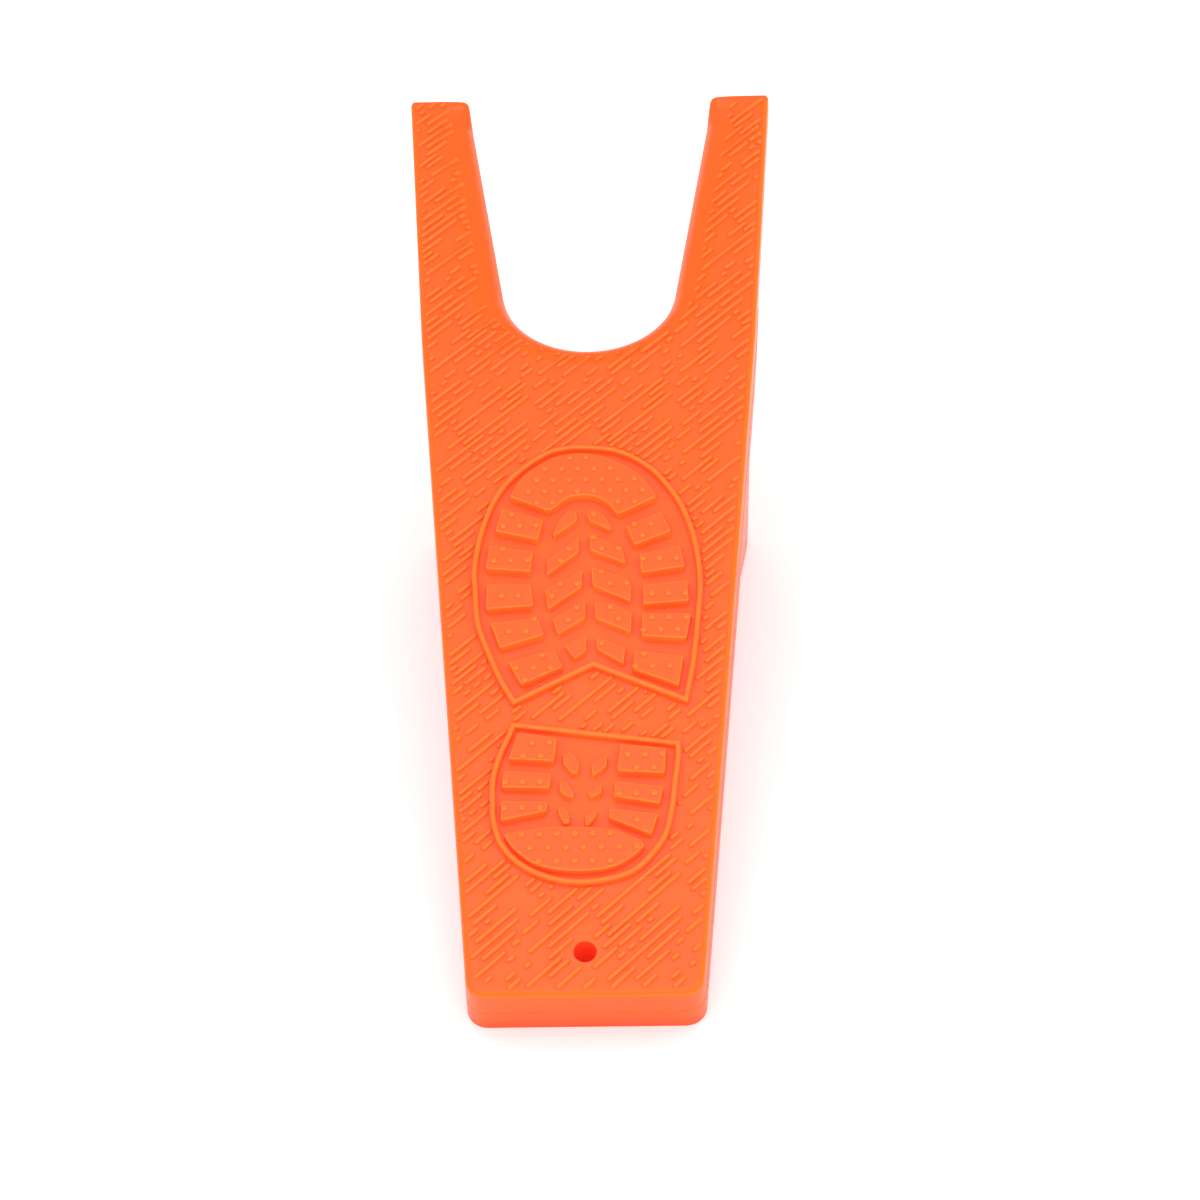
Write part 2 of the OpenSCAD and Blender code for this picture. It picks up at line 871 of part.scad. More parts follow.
// Studs on the common lattice that fall inside a lug
module studs(p, h, first) {
  for (r = [0:20])
    for (k = [-8:8])
      let (q = [stud_x + (k + (r % 2) / 2) * stud_pitch, first - r * row_pitch])
        if (within(q, p) && clear_of(q, p, stud_edge))
          translate([q[0], q[1], h - 0.2])
            cylinder(d = stud_d, h = stud_h + 0.2, $fn = 24);
}

module lugs(set, y, h, first) {
  translate([0, y, 0])
    for (p = set) {
      linear_extrude(h)
        polygon(p);
      studs(p, h, first);
    }
}

module ball_rim() {
  color("Tomato")
    place()
      rim(ball_loop, ball_y);
}

module toe_cap_lug() {
  color("Coral")
    place()
      lugs([toe_cap], ball_y, lug_h, ball_first);
}

module ball_lugs_left() {
  color("Coral")
    place()
      lugs(side_left, ball_y, lug_h, ball_first);
}

module ball_lugs_right() {
  color("Coral")
    place()
      lugs(side_right, ball_y, lug_h, ball_first);
}

module ball_lugs_middle() {
  color("Coral")
    place()
      lugs(ball_mid, ball_y, mid_lug_h, ball_first);
}

module heel_rim() {
  color("Tomato")
    place()
      rim(heel_loop, heel_y);
}

module heel_cap_lug() {
  color("Coral")
    place()
      lugs([heel_cap], heel_y, lug_h, heel_first);
}

module heel_lugs_side() {
  color("Coral")
    place()
      lugs(heel_sides, heel_y, lug_h, heel_first);
}

module heel_lugs_middle() {
  color("Coral")
    place()
      lugs(heel_mid, heel_y, mid_lug_h, heel_first);
}

// A dash with bevelled round ends
module dash(a, b) {
  long = norm(b - a);
  e = dash_w / 2;
  translate([a[0], a[1], 0])
    rotate([0, 0, dash_a])
      linear_extrude(dash_h)
        polygon([
          [0, -e], [long, -e], [long + e * 0.9, -e / 2], [long + e * 0.9, e / 2],
          [long, e], [0, e], [-e * 0.9, e / 2], [-e * 0.9, -e / 2]
        ]);
}

module dash_group(y0, y1, side) {
  for (d = dashes_in(y0, y1, side))
    dash(d[0], d[1]);
}

module dashes_tail() {
  color("DarkOrange")
    place()
      dash_group(0, heel_y - 28, 0);
}

module dashes_left() {
  color("DarkOrange")
    place()
      dash_group(heel_y - 28, leg_y, -1);
}

module dashes_right() {
  color("DarkOrange")
    place()
      dash_group(heel_y - 28, leg_y, 1);
}

module dashes_middle() {
  color("DarkOrange")
    place()
      dash_group(leg_y, bend_y, 0);
}

module dashes_arm_left() {
  color("DarkOrange")
    place()
      dash_group(bend_y, deck_len, -1);
}

module dashes_arm_right() {
  color("DarkOrange")
    place()
      dash_group(bend_y, deck_len, 1);
}

deck_plate();
fork_arm_left();
fork_arm_right();
notch_lip_bottom();
notch_lip_left();
notch_lip_right();
arm_skirt_left();
arm_skirt_right();
body_skirt_left();
body_skirt_right();
tail_skirt();
tip_wall_left();
tip_wall_right();
leg_wall();
leg_gusset_left();
leg_gusset_right();
foot_rail();
long_rib_left();
long_rib_right();
leg_brace_left();
leg_brace_right();
cross_rib_heel();
cross_rib_middle();
cross_rib_ball();
hanger_boss();
ball_rim();
toe_cap_lug();
ball_lugs_left();
ball_lugs_right();
ball_lugs_middle();
heel_rim();
heel_cap_lug();
heel_lugs_side();
heel_lugs_middle();
dashes_tail();
dashes_left();
dashes_right();
dashes_middle();
dashes_arm_left();
dashes_arm_right();
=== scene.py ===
import math
import bpy
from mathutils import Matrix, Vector


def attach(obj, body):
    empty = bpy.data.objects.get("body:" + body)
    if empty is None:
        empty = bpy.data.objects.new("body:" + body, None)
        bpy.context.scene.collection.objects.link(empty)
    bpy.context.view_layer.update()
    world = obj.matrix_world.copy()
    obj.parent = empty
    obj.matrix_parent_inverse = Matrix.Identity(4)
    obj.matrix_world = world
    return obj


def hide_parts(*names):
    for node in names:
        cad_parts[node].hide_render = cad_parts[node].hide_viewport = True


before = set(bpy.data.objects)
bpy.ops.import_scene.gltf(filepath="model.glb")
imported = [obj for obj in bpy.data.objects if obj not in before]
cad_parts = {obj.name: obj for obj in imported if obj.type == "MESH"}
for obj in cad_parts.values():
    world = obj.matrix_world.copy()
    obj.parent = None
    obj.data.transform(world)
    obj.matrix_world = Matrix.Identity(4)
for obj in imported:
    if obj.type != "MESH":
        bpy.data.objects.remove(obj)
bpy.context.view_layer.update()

# Sizes are in millimetres, in the deck's own frame: x to the right, y from the tail wall
# toward the fork, w out of the deck. The camera's place, the floor and the sizes in the
# materials are in metres.

# Deck: its slope, its length, and its half widths at the tail, the bend and the tips
TILT = math.radians(12.2)
DECK_LEN = 343.3
TAIL_HALF = 32.3
BEND_HALF = 53.9
TIP_HALF = 61.8
BEND_Y = 236.0

# Rounding of the outer edge, and depths of the tail's skirt and of the arms
EDGE_R = 1.8
SKIRT = 18.3
ARM_DEPTH = 8.2
# Where the flat land under the tail ends
LAND_Y = 0.84

# From the deck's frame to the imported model's: height of the tail, and middle of the length
LIFT = SKIRT * math.cos(TILT) - LAND_Y * math.sin(TILT)
Y_LOW = EDGE_R * (math.cos(TILT) + math.sin(TILT)) - EDGE_R
Y_HIGH = DECK_LEN * math.cos(TILT) + ARM_DEPTH * math.sin(TILT)
MIDDLE = (Y_LOW + Y_HIGH) / 2

# Notch: round bottom, sides that open by an angle, and a lip rolled over a radius
NOTCH_R = 28.7
NOTCH_Y = 262.7
NOTCH_OPEN = math.radians(9.0)
LIP_R = 11.5
LIP_W = 10.94

# Level arm tips: where they start, and the radius of their corners
TIP_Y = DECK_LEN - 2.5
TIP_R = 1.9
# The rolled lip comes up over a length that ends a little past the start of the tips. There
# it keeps a share of its drop, and its edge is rounded over a width of its own.
TIP_SLOPE = 9.0
TIP_PAST = 0.6
TIP_DROP = 0.1
TIP_ROUND = 2.2
# The tip pieces lie this far above the solids, and their feet reach this far in and out
TIP_LIFT = 0.02
FOOT_IN = 0.02
FOOT_OUT = 0.2
# Counts of faces: along the slope and the tip, and across the lip and the level part
SLOPE_ROWS = 14
TIP_ROWS = 12
LIP_COLUMNS = 22
LEVEL_COLUMNS = 14

# Hanging hole
HOLE_Y = 13.2
HOLE_R = 3.25

# Sole print: middles of its two halves, rims, and lugs at the sides and in the middle
BALL_Y = 138.0
HEEL_Y = 60.5
RIM_W = 1.7
RIM_H = 1.6
LUG_H = 2.2
MID_LUG_H = 1.7
LUG_CORNER = 0.7

# Studs on the lugs: an equilateral lattice, with a first row for each half. They keep a
# margin to the lug's edge, and a wider one in the top rows of the toe cap.
STUD_D = 1.7
STUD_H = 0.7
STUD_SIDES = 14
STUD_PITCH = 5.0
STUD_MARGIN = 0.45
TOE_MARGIN = 1.3
TOE_ROWS_Y = 36.0
LATTICE_X = -0.5
LATTICE_ROWS = 21
LATTICE_REACH = 8
BALL_FIRST = 45.5
HEEL_FIRST = 19.0

# Grip dashes: one tile, repeated from a first place, and a little longer on the fork
DASH_W = 1.35
DASH_H = 0.7
TILE_W = 45.1
TILE_L = 43.3
TILE_X = -2.85
TILE_Y = 12.2
TILE_COLUMNS = range(-3, 4)
TILE_ROWS = range(-1, 9)
TILE_LANES = 12
LANE_STEPS = 64
FORK_Y = 228.0
FORK_STRETCH = 0.027
# What the dashes leave bare: along the edges, at the tips, round the notch, the hole and
# the rims, and in the corners of the tail
BARE_EDGE = 2.2
BARE_TIP = 2.4
BARE_NOTCH = 7.3
BARE_HOLE = 2.0
BARE_RIM = 0.9
BARE_CORNER_X = 27.1
BARE_CORNER_Y = 5.6
# Steps along a dash: where it is tested, where it follows the deck, and round its ends
DASH_SAMPLE = 0.5
DASH_STRETCH = 3
DASH_END_STEPS = 5
# The dashes of the tail end below the heel print, and those of the sides over the leg
TAIL_REGION = HEEL_Y - 28
SIDE_REGION = 198

# Profiles from the foot up, as pairs of a ring's size and its height. The size is a share of
# the half width, or on lugs how far the ring lies outward of the outline. Each foot starts
# a little below what it stands on, and the heights of a shoulder are from the top.
DASH_PROFILE = [(1.15, -0.1), (1.0, 0.2), (0.88, 0.45), (0.6, 0.64), (0.25, DASH_H)]
RIM_PROFILE = [(1.18, -0.1), (1.04, 0.35), (1.0, 1.0), (0.86, 1.35), (0.55, 1.55), (0.0, RIM_H)]
STUD_PROFILE = [(1.12, -0.05), (1.0, 0.2), (0.9, 0.45), (0.62, 0.63), (0.25, STUD_H)]
LUG_FOOT = [(0.45, -0.1), (0.18, 0.3)]
LUG_SHOULDER = [(0.02, -0.4), (-0.1, -0.12), (-0.3, 0), (-0.42, 0)]

# Edges sharper than this stay sharp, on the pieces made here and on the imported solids
PIECE_CREASE = math.radians(50)
NODE_CREASE = math.radians(28)

# Outlines of the two rims, from the middle of their half of the print
BALL_ARC = [
    (-21, -43.5), (-25, -36), (-29, -26), (-32.5, -15), (-33.5, -3), (-34, 3.5), (-33, 14),
    (-31, 23), (-28.5, 30.5), (-24.5, 37.5), (-19, 43.5), (-12.5, 48.5), (-8, 50), (-2.5, 50.5),
    (9, 49), (18.5, 43), (24.5, 35.5), (29, 27), (32, 17), (33.5, 7.5), (34, -3), (33, -15),
    (31.5, -29.5), (29, -43.5)]
BALL_APEX = (2, -30.5)
HEEL_ARC = [
    (26.5, 19), (26.5, 15), (25.5, 6.5), (24.5, -2), (22.5, -11), (18.5, -17.5), (13.5, -22.5),
    (7, -25), (-1, -26), (-8.5, -25), (-15.5, -22), (-20.5, -18), (-24, -13), (-26, -6.5),
    (-26.5, 0), (-26.5, 8), (-25, 15), (-23, 20.5), (-21, 26)]

# Outlines of the lugs: toe cap, heel cap, then the sides and the middle of each half
TOE_ARC = [
    (-23.8, 31), (-20.4, 38), (-15.5, 42.7), (-10.2, 46), (-5.5, 47.3), (0, 47.4), (5, 46.2),
    (10.2, 43.3), (15, 39.7), (18, 36), (20.4, 32.3), (21, 30)]
TOE_FRONT = [
    (9.4, 23.6), (8.2, 25.3), (6.8, 27.6), (4.4, 29.7), (1.6, 30.9), (-1.7, 31.3), (-4.8, 30.8),
    (-6.6, 30), (-9.6, 26.9), (-11, 25.8), (-12.3, 25.6)]
HEEL_CAP = [
    (-22.8, -10.8), (-10.5, -8.6), (0, -8.8), (8.5, -9.8), (15.8, -13.4), (16.6, -15.2),
    (14.4, -17.5), (12, -19.5), (9, -21.3), (5, -22.6), (0, -23), (-5, -22.9), (-10, -22.1),
    (-12.7, -21.2), (-15.2, -20), (-17.7, -18), (-20.7, -15), (-22.5, -12)]
SIDE_LEFT = [
    [(-26, 26.5), (-13.5, 22), (-15, 14.5), (-28, 18)],
    [(-29.5, 12.5), (-16.5, 10.2), (-17, 2.5), (-30.5, 4)],
    [(-30, -1.8), (-17, -2.2), (-16, -10), (-30, -11)],
    [(-28.5, -16), (-14.7, -14.4), (-12.6, -20.5), (-25.5, -25)],
    [(-23, -30), (-9.5, -26), (-7, -32), (-19, -38)]]
SIDE_RIGHT = [
    [(12, 19), (22.5, 24.5), (25.5, 17), (14.5, 12)],
    [(16, 8.5), (28, 11.5), (29.5, 3.7), (16.5, 1.5)],
    [(17, -3), (30, -1.4), (30.5, -9), (17, -10)],
    [(16.5, -13.5), (31, -13.5), (29.5, -22.5), (16.5, -21.5)],
    [(14.5, -26.5), (28.5, -29), (27, -39), (13.5, -33)]]
BALL_MID = [
    [(-6, 25.5), (-3.5, 25.5), (-3, 22), (-10, 16), (-10.5, 17), (-8.5, 22)],
    [(-2.5, 15.5), (-2.5, 10), (-12, 1.5), (-12, 7)],
    [(-1.5, 3.2), (-1.5, -3), (-11.5, -11), (-12.5, -4)],
    [(-0.5, -8), (-0.5, -14.5), (-8.5, -20.2), (-10.2, -14.5)],
    [(-0.3, -21), (0, -26), (-3.5, -29), (-6.5, -24)],
    [(1.5, 26), (5, 24), (7.5, 19), (7, 18), (0.5, 22), (0, 24.5)],
    [(0.8, 16.6), (10.6, 11.6), (11.7, 5.4), (1, 10.6)],
    [(1.4, 4.2), (12, 0), (13.2, -3), (13.2, -8.6), (1.8, -2.6)],
    [(2.4, -8.6), (8, -9.4), (13.4, -12.6), (13.2, -19.8), (2.6, -14.4)],
    [(3, -21.5), (11.5, -25), (11, -31), (3, -25.5)]]
HEEL_SIDES = [
    [(-19.6, 22.8), (-8.5, 20.9), (-9.2, 13), (-22.2, 14)],
    [(-23.5, 10), (-10, 9), (-10.5, 4), (-24, 4.5)],
    [(-24, 0), (-11, -0.5), (-11, -3.5), (-24, -6.5)],
    [(10, 18.5), (23, 17), (22.5, 8.5), (9, 9.5)],
    [(8.5, 6), (22, 4), (21, -1.5), (8, 1)],
    [(7, -3), (20.5, -5), (18.5, -11.5), (6.5, -6)]]
HEEL_MID = [
    [(-6.5, 16), (-4, 16), (-2, 12.5), (-2.5, 9), (-4, 9), (-6.5, 12.5)],
    [(-7.5, 6.5), (-5.5, 6), (-3.5, 3), (-3.5, 1), (-5.5, 1.5), (-7.5, 3.5)],
    [(-8, -2), (-6, -2), (-4.5, -5), (-5, -8), (-6, -7.5), (-7.5, -4.5)],
    [(6, 15), (6, 11.5), (2, 8), (1.5, 12)],
    [(4.5, 5), (4.5, 2.5), (1.5, 1), (0.5, 3)],
    [(3, -3), (3, -5), (0.5, -8.5), (0, -8), (0, -5)]]

# Each dash of the tile: its lane, its start along the lane and its length, in steps
DASHES = [
    (0, 5.5, 8.5), (0, 28.5, 9.5), (0, 54, 8), (0.4, 42.5, 6), (0.8, 10.5, 29),
    (1.3, 47.5, 2.5), (1.5, 52.5, 29.5), (1.8, 19, 9.5), (2.3, 38, 14), (2.5, 0.5, 9.5),
    (2.5, 10.5, 9), (2.6, 21.5, 2.5), (3.2, 37.5, 9.5), (3.5, 7.5, 3), (3.5, 11.5, 3),
    (3.6, 15.5, 16), (3.5, 58, 5), (4, 55, 2.5), (4.3, 38, 2.5), (4.3, 42, 10),
    (4.6, 0.5, 29), (5.3, 32, 8.5), (5.2, 45, 16), (5.5, 63.5, 9.5), (5.6, 13, 13),
    (6.3, 26.5, 6.5), (6.4, 36, 16.5), (6.2, 55, 8), (6.6, 6, 13.5), (6.6, 22, 3),
    (7.5, 62.5, 5), (7.7, 6, 5.5), (7.6, 17.5, 3), (7.5, 33.5, 9.5), (7.4, 45, 16),
    (8.4, 23.5, 29.5), (9.1, 13, 4), (9.4, 19.5, 2.5), (9.4, 28.5, 16), (9.4, 45.5, 3),
    (9.4, 58.5, 9.5), (10, 11, 5.5), (10.4, 26, 9.5), (10.4, 44.5, 29.5), (11.2, 1.5, 9),
    (11.2, 15.5, 13.5), (11.3, 44, 9)]

# Plastic: faint clouds, which change its brightness and its roughness, and a fine grain
CLOUD_SCALE = 28.0
CLOUD_LIGHT = 0.03
CLOUD_ROUGH = 0.04
GRAIN_SCALE = 1600.0
GRAIN_HEIGHT = 0.00006
GRAIN_STRENGTH = 0.12
# Painted shade in hollows, from ambient occlusion: how far away a wall closes one in, and how open
# a hollow is where the painted shade is full and where it is gone
SHADE_REACH = 0.006
SHADE_SAMPLES = 8
SHADE_FULL_AT = 0.35
SHADE_NONE_AT = 0.95
# Painted glow from inside, an emission standing in for the light the fluorescent plastic gives
# off, and the refraction of clear plastic
PAINTED_GLOW = (1.0, 0.045, 0.015)
PAINTED_GLOW_STRENGTH = 0.15
PLASTIC_IOR = 1.49
# How level a face is with the deck, 1 where it is: walls, which get painted shade, rounded edges,
# which get a painted highlight, and level faces
WALL_SHADE_LEVEL = 0.1
EDGE_HIGHLIGHT_LEVELS = (0.3, 0.93)
DECK_LEVEL = 0.995
# Sideways lean of a face, to the right: up to the first it counts as left, past the second
# it doesn't. Faces on the left get less of the painted highlight and shade, as the light falls
# from the right
LEFT_FULL = -0.6
LEFT_NONE = 0.2
# Colours, with a deep one painted into hollows as shade, and those painted on rounded edges as a
# highlight and on walls as shade
DECK_ORANGE = (0.98, 0.138, 0.012)
HOLLOW_SHADE_ORANGE = (0.98, 0.088, 0.03)
SKIRT_HOLLOW_SHADE = (0.98, 0.085, 0.012)
SKIRT_EDGE_HIGHLIGHT = (0.98, 0.195, 0.008)
SKIRT_WALL_SHADE = (0.98, 0.13, 0.008)
RAISED_ORANGE = (0.98, 0.21, 0.018)
RAISED_HOLLOW_SHADE = (0.98, 0.14, 0.014)
PRINT_ORANGE = (0.98, 0.132, 0.014)
PRINT_HOLLOW_SHADE = (0.98, 0.1, 0.016)
PRINT_EDGE_HIGHLIGHT = (0.98, 0.29, 0.035)
PRINT_WALL_SHADE = (0.98, 0.11, 0.012)

# Camera: its place, its turn in degrees, and its lens
CAMERA_PLACE = (0.02373, -0.634205, 0.593112)
CAMERA_TURN = (47.296, 1.61, 0.425)
LENS_MM = 80.91
SENSOR_MM = 36

# Floor: its half side, its white, and what it glows with for the camera
FLOOR_HALF = 4
FLOOR_WHITE = (0.9, 0.9, 0.9)
FLOOR_SEEN = 0.28
# Light from all round, what the camera sees of it, and the light box from its rim upward
SKY_LIGHT = 1.12
SKY_SEEN = 1.1
BOX_LIGHT = 1.45
BOX_RIM = 0.84


def to_frame(x, y, w):
    """A point of the deck's frame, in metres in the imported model's frame."""
    return (x / 1000,
            (y * math.cos(TILT) - w * math.sin(TILT) - MIDDLE) / 1000,
            (y * math.sin(TILT) + w * math.cos(TILT) + LIFT) / 1000)


def half_at(y):
    """Half width of the deck."""
    if y < BEND_Y:
        return TAIL_HALF + y * (BEND_HALF - TAIL_HALF) / BEND_Y
    return BEND_HALF + (y - BEND_Y) * (TIP_HALF - BEND_HALF) / (DECK_LEN - BEND_Y)


def wall_line(y):
    """Distance of the notch's straight side from the middle line."""
    return (NOTCH_R + (y - NOTCH_Y) * math.sin(NOTCH_OPEN)) / math.cos(NOTCH_OPEN)


def from_notch(x, y):
    """Distance of a point of the deck from the notch's wall."""
    x, y = abs(x), y - NOTCH_Y
    if x * math.sin(NOTCH_OPEN) + y * math.cos(NOTCH_OPEN) > 0:
        return x * math.cos(NOTCH_OPEN) - y * math.sin(NOTCH_OPEN) - NOTCH_R
    return math.hypot(x, y) - NOTCH_R


def fall(r, past):
    """Height of a rounding of radius r, this far past its start: zero or less."""
    return math.sqrt(max(0.0, r ** 2 - past ** 2)) - r


def roll(y):
    """How much of the lip's drop is left: all of it, and little at the tips."""
    t = max(0.0, min(1.0, (TIP_Y + TIP_PAST - y) / TIP_SLOPE))
    return TIP_DROP + (1 - TIP_DROP) * t * t * (3 - 2 * t)


def surface(x, y):
    """Height of the deck's top at a point: zero, and less on the rolled lip."""
    s = max(0.0, from_notch(x, y))
    if s >= LIP_W:
        return 0.0
    k = roll(y)
    return k * fall(LIP_R, LIP_W - s) + (1 - k) * fall(TIP_ROUND, max(0.0, TIP_ROUND - s))


def curve(p, steps=8):
    """Smooth curve through the points of an open line."""
    out = []
    for i in range(len(p) - 1):
        a, b, c, d = (Vector(p[max(0, min(len(p) - 1, i + j))]) for j in (-1, 0, 1, 2))
        for k in range(steps):
            t = k / steps
            out.append(0.5 * (2 * b + (c - a) * t + (2 * a - 5 * b + 4 * c - d) * t * t
                              + (3 * b - a - 3 * c + d) * t ** 3))
    return out + [Vector(p[-1])]


def clockwise(p):
    """The loop as vectors, turned round if it runs the other way."""
    p = [Vector(q) for q in p]
    area = sum(a.x * b.y - b.x * a.y for a, b in zip(p, p[1:] + p[:1]))
    return p[::-1] if area > 0 else p


def moved(p, y):
    """The loop, moved along the deck."""
    return [q + Vector((0, y)) for q in p]


def grow(p, d, least=0.5):
    """A clockwise loop moved outward by d, with mitred corners, the sharpest cut short."""
    out = []
    for i, q in enumerate(p):
        u, v = (q - p[i - 1]).normalized(), (p[(i + 1) % len(p)] - q).normalized()
        a, b = Vector((u.y, -u.x)), Vector((v.y, -v.x))
        m = (a + b).normalized()
        out.append(q - m * d / max(m.dot(a), least))
    return out


def rounded(p, r, n=4, most=0.45):
    """The loop with its corners rounded over r, or over that share of a side at most."""
    out = []
    for i, q in enumerate(p):
        a, b = p[i - 1] - q, p[(i + 1) % len(p)] - q
        k = min(r, a.length * most, b.length * most)
        s, e = q + a.normalized() * k, q + b.normalized() * k
        for j in range(n + 1):
            t = j / n
            out.append(s * (1 - t) ** 2 + q * 2 * t * (1 - t) + e * t * t)
    return out


def within(q, p):
    """Whether a point lies inside a loop."""
    odd = False
    for a, b in zip(p, p[1:] + p[:1]):
        if (a[1] > q[1]) != (b[1] > q[1]):
            if q[0] < (b[0] - a[0]) * (q[1] - a[1]) / (b[1] - a[1]) + a[0]:
                odd = not odd
    return odd


def gap_to(q, p):
    """Distance of a point from a loop."""
    q = Vector(q)
    gaps = []
    for a, b in zip(p, p[1:] + p[:1]):
        t = max(0, min(1, (q - a).dot(b - a) / (b - a).length_squared))
        gaps.append((q - a - (b - a) * t).length)
    return min(gaps)


def steps_between(a, b, n):
    """Values from a to b, closer together at both ends."""
    return [a + (b - a) * (1 - math.cos(math.pi * k / n)) / 2 for k in range(n + 1)]


class Relief:
    """Collects features of the deck into one mesh."""

    def __init__(self):
        self.verts, self.faces = [], []

    def rings(self, levels, cap=True):
        """Skin over pairs of a loop and its height, from the foot up.

        The loops are clockwise and have as many points as each other."""
        first, n = len(self.verts), len(levels[0][0])
        for loop, h in levels:
            self.verts += [to_frame(q[0], q[1], h + surface(q[0], q[1])) for q in loop]
        for k in range(len(levels) - 1):
            a, b = first + k * n, first + (k + 1) * n
            for i in range(n):
                j = (i + 1) % n
                self.faces.append((a + i, b + i, b + j, a + j))
        if cap:
            top = first + (len(levels) - 1) * n
            self.faces.append(tuple(range(top + n - 1, top - 1, -1)))

    def make(self, name, material, slot, *nodes):
        """Turn what was collected into a piece that stands for the given nodes."""
        mesh = bpy.data.meshes.new(name)
        mesh.from_pydata(self.verts, [], self.faces)
        mesh.validate()
        mesh.shade_smooth()
        mesh.set_sharp_from_angle(angle=PIECE_CREASE)
        mesh.materials.append(material)
        o = bpy.data.objects.new(name, mesh)
        bpy.context.scene.collection.objects.link(o)
        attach(o, "root")
        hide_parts(*nodes)


def add(tree, kind, x, y, **inputs):
    """A shader node at a place in the tree, with values for some of its inputs."""
    n = tree.nodes.new(kind)
    n.location = (x, y)
    for key, value in inputs.items():
        n.inputs[key.replace("_", " ")].default_value = value
    return n


def map_range(tree, source, x, y, **ends):
    """The source's values, brought from one range to another."""
    n = add(tree, "ShaderNodeMapRange", x, y, **ends)
    tree.links.new(source, n.inputs["Value"])
    return n.outputs["Result"]


def mix(tree, factor, x, y, kind="FLOAT"):
    """A mix of A and B by the factor."""
    n = add(tree, "ShaderNodeMix", x, y)
    n.data_type = kind
    tree.links.new(factor, n.inputs["Factor"])
    return n


def painted_edge_light(tree, base, edge, wall, left):
    """The base colour on level faces, a painted highlight on rounded edges and painted shade on
    walls.

    left says how much of this painted highlight and shade the faces on the left show."""
    facing = add(tree, "ShaderNodeNewGeometry", -1300, 400)
    level = add(tree, "ShaderNodeVectorMath", -1100, 400)
    level.operation = "DOT_PRODUCT"
    level.inputs[1].default_value = (0, -math.sin(TILT), math.cos(TILT))
    tree.links.new(facing.outputs["Normal"], level.inputs[0])
    light_bands = add(tree, "ShaderNodeValToRGB", -900, 400)
    stops = light_bands.color_ramp.elements
    stops[0].position, stops[0].color = WALL_SHADE_LEVEL, (*wall, 1)
    stops[1].position, stops[1].color = DECK_LEVEL, (*base, 1)
    for at in EDGE_HIGHLIGHT_LEVELS:
        stops.new(at).color = (*edge, 1)
    tree.links.new(level.outputs["Value"], light_bands.inputs["Fac"])
    sides = add(tree, "ShaderNodeSeparateXYZ", -1100, 600)
    tree.links.new(facing.outputs["Normal"], sides.inputs[0])
    share = map_range(tree, sides.outputs["X"], -900, 650,
                      From_Min=LEFT_FULL, From_Max=LEFT_NONE, To_Min=left)
    lit_colour = mix(tree, share, -600, 450, "RGBA")
    lit_colour.inputs["A"].default_value = (*base, 1)
    tree.links.new(light_bands.outputs["Color"], lit_colour.inputs["B"])
    return lit_colour.outputs["Result"]


def plastic(name, base, deep, rough, edge=None, wall=None, left=1.0, specular=0.5):
    """Bright translucent moulding: redder in its hollows, where shade is painted, with a faint
    painted glow from inside.

    With edge and wall, rounded edges carry a painted highlight and walls carry painted shade."""
    m = bpy.data.materials.new(name)
    m.use_nodes = True
    tree = m.node_tree
    p = tree.nodes["Principled BSDF"]
    place = add(tree, "ShaderNodeTexCoord", -1100, 0)
    cloud = add(tree, "ShaderNodeTexNoise", -900, 200, Scale=CLOUD_SCALE, Detail=3.0)
    grain = add(tree, "ShaderNodeTexNoise", -900, -300, Scale=GRAIN_SCALE, Detail=2.0)
    for noise in (cloud, grain):
        tree.links.new(place.outputs["Object"], noise.inputs["Vector"])

    # Painted shade: the deep colour is mixed in where ambient occlusion finds a hollow
    shade_occlusion = add(tree, "ShaderNodeAmbientOcclusion", -900, 0, Distance=SHADE_REACH)
    shade_occlusion.samples = SHADE_SAMPLES
    unshaded_share = map_range(tree, shade_occlusion.outputs["AO"], -700, 0,
                       From_Min=SHADE_FULL_AT, From_Max=SHADE_NONE_AT)
    shaded_tone = mix(tree, unshaded_share, -450, 100, "RGBA")
    shaded_tone.inputs["A"].default_value = (*deep, 1)
    shaded_tone.inputs["B"].default_value = (*base, 1)
    # Painted highlight on rounded edges and painted shade on walls, by how each face leans
    if edge:
        tree.links.new(painted_edge_light(tree, base, edge, wall, left), shaded_tone.inputs["B"])
    vary = add(tree, "ShaderNodeHueSaturation", -250, 100)
    light = map_range(tree, cloud.outputs["Fac"], -700, 300,
                      To_Min=1 - CLOUD_LIGHT, To_Max=1 + CLOUD_LIGHT)
    tree.links.new(light, vary.inputs["Value"])
    tree.links.new(shaded_tone.outputs["Result"], vary.inputs["Color"])
    tree.links.new(vary.outputs["Color"], p.inputs["Base Color"])

    satin = map_range(tree, cloud.outputs["Fac"], -700, -200,
                      To_Min=rough - CLOUD_ROUGH, To_Max=rough + CLOUD_ROUGH)
    tree.links.new(satin, p.inputs["Roughness"])
    bump = add(tree, "ShaderNodeBump", -300, -300,
               Strength=GRAIN_STRENGTH, Distance=GRAIN_HEIGHT)
    tree.links.new(grain.outputs["Fac"], bump.inputs["Height"])
    tree.links.new(bump.outputs["Normal"], p.inputs["Normal"])
    p.inputs["IOR"].default_value = PLASTIC_IOR
    p.inputs["Specular IOR Level"].default_value = specular
    # Painted glow: the plastic gives off a red light of its own, though it is no lamp
    p.inputs["Emission Color"].default_value = (*PAINTED_GLOW, 1)
    p.inputs["Emission Strength"].default_value = PAINTED_GLOW_STRENGTH
    return m


